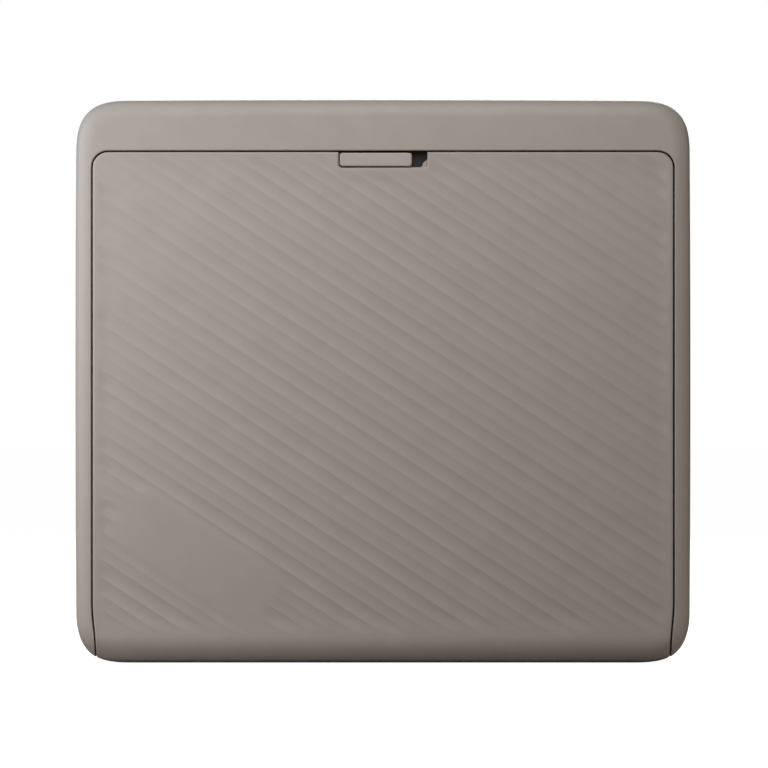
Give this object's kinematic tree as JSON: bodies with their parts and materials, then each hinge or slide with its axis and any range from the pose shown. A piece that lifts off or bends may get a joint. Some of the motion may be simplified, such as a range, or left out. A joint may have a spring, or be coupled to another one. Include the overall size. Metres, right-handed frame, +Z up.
{
  "type": "compact photo printer",
  "caption": "Compact instant-film photo printer with a fluted, hinged film door, sliding latch, print slot, rollers, gear train and film claw.",
  "frame": {"origin": "under the middle of the printer, on the surface that it stands on", "axes": "+X to the right seen from the film door, +Y towards the plain back, +Z up; the film door faces -Y"},
  "size_m": [0.139, 0.0338, 0.1275],
  "materials": {
    "casing_plastic": "matte moulded, warm grey",
    "button_plastic": "matte moulded, warm grey",
    "black_plastic": "matte moulded black",
    "foam": "black foam",
    "steel": "bright steel",
    "roller_steel": "ground and plated",
    "white_gear": "natural acetal",
    "brass": "turned",
    "board_green": "solder mask",
    "dark_parts": "moulded packages",
    "battery_foil": "laminated foil",
    "lead_red": "wire insulation",
    "flex_amber": "polyimide film",
    "lens_glass": "polished rod array",
    "clear_guide": "frosted clear",
    "screw_black": "blackened steel"
  },
  "bodies": {
    "casing": {"front_casing": "casing_plastic", "rear_casing": "casing_plastic", "film_chamber": "black_plastic", "chamber_bezel": "black_plastic", "door_light_seal": "foam", "hinge_pins": "steel", "left_roller_plate": "steel", "right_roller_plate": "steel", "roller_bushes": "white_gear", "nip_springs": "steel", "gear_shafts": "steel", "motor": "steel", "claw_spring": "steel", "exposure_head": "black_plastic", "rod_lens": "lens_glass", "head_flex": "flex_amber", "print_slot_seals": "foam", "main_board": "board_green", "board_parts": "dark_parts", "battery_pack": "battery_foil", "battery_lead": "lead_red", "light_guide": "clear_guide", "indicator_board": "board_green", "power_switch": "dark_parts", "usb_board": "board_green", "usb_socket": "steel", "reset_switch": "dark_parts", "casing_screws": "screw_black", "chamber_screws": "screw_black", "board_screws": "steel", "plate_screws": "steel"},
    "door": {"film_door": "casing_plastic", "door_liner": "black_plastic", "pack_springs": "steel", "latch_straps": "steel", "latch_spring": "steel"},
    "latch": {"latch_slider": "button_plastic"},
    "drive_roller": {"drive_roller": "roller_steel", "drive_gear": "white_gear", "drive_nip_gear": "white_gear"},
    "pressure_roller": {"pressure_roller": "roller_steel", "pressure_nip_gear": "white_gear"},
    "motor_shaft": {"motor_pinion": "brass"},
    "compound_gear": {"compound_gear": "white_gear"},
    "transfer_gear": {"transfer_gear": "white_gear"},
    "clutch_gear": {"clutch_gear": "white_gear"},
    "claw_pinion": {"claw_pinion": "dark_parts"},
    "claw_slider": {"claw_slider": "dark_parts"},
    "power_button": {"power_button": "button_plastic"},
    "reset_button": {"reset_button": "dark_parts"}
  },
  "joints": [
    {"name": "door_hinge", "type": "hinge", "parent": "casing", "child": "door", "pos_m": [0, -0.01085, 0.0062], "axis": [1, 0, 0], "range_deg": [0, 90]},
    {"name": "latch_slide", "type": "slide", "parent": "door", "child": "latch", "axis": [1, 0, 0], "range_m": [0, 0.0033], "stiffness_N_per_m": 300, "springref_m": -0.002, "deforming": ["latch_spring"]},
    {"name": "power_button_press", "type": "slide", "parent": "casing", "child": "power_button", "axis": [1, 0, 0], "range_m": [0, 0.0005], "stiffness_N_per_m": 2000, "springref_m": -0.0005},
    {"name": "reset_button_press", "type": "slide", "parent": "casing", "child": "reset_button", "axis": [-1, 0, 0], "range_m": [0, 0.00025], "stiffness_N_per_m": 2000, "springref_m": -0.0005},
    {"name": "drive_roller_spin", "type": "hinge", "parent": "casing", "child": "drive_roller", "pos_m": [0, 0.008, 0.1175], "axis": [1, 0, 0], "continuous": true},
    {"name": "pressure_roller_spin", "type": "hinge", "parent": "casing", "child": "pressure_roller", "pos_m": [0, 0, 0.1175], "axis": [1, 0, 0], "continuous": true},
    {"name": "transfer_gear_spin", "type": "hinge", "parent": "casing", "child": "transfer_gear", "pos_m": [0, 0.00322, 0.10704], "axis": [1, 0, 0], "continuous": true},
    {"name": "compound_gear_spin", "type": "hinge", "parent": "casing", "child": "compound_gear", "pos_m": [0, -0.00501, 0.10339], "axis": [1, 0, 0], "continuous": true},
    {"name": "clutch_gear_spin", "type": "hinge", "parent": "casing", "child": "clutch_gear", "pos_m": [0, 0.00652, 0.09551], "axis": [1, 0, 0], "continuous": true},
    {"name": "motor_shaft_spin", "type": "hinge", "parent": "casing", "child": "motor_shaft", "pos_m": [0, -0.0081, 0.1129], "axis": [1, 0, 0], "continuous": true},
    {"name": "claw_slide", "type": "slide", "parent": "casing", "child": "claw_slider", "axis": [0, 0, 1], "range_m": [0, 0.009], "stiffness_N_per_m": 20, "springref_m": -0.005, "deforming": ["claw_spring"]},
    {"name": "claw_pinion_turn", "type": "hinge", "parent": "casing", "child": "claw_pinion", "pos_m": [0, 0.00652, 0.09551], "axis": [1, 0, 0], "range_deg": [0, 115]}
  ],
  "couplings": [
    {"joint": "pressure_roller_spin", "follows": "drive_roller_spin", "ratio": -1},
    {"joint": "transfer_gear_spin", "follows": "drive_roller_spin", "ratio": -0.91667},
    {"joint": "compound_gear_spin", "follows": "drive_roller_spin", "ratio": 1.8333},
    {"joint": "clutch_gear_spin", "follows": "drive_roller_spin", "ratio": 0.91667},
    {"joint": "motor_shaft_spin", "follows": "drive_roller_spin", "ratio": -5.5},
    {"joint": "claw_pinion_turn", "follows": "claw_slide", "rad_per_m": 222.22}
  ]
}
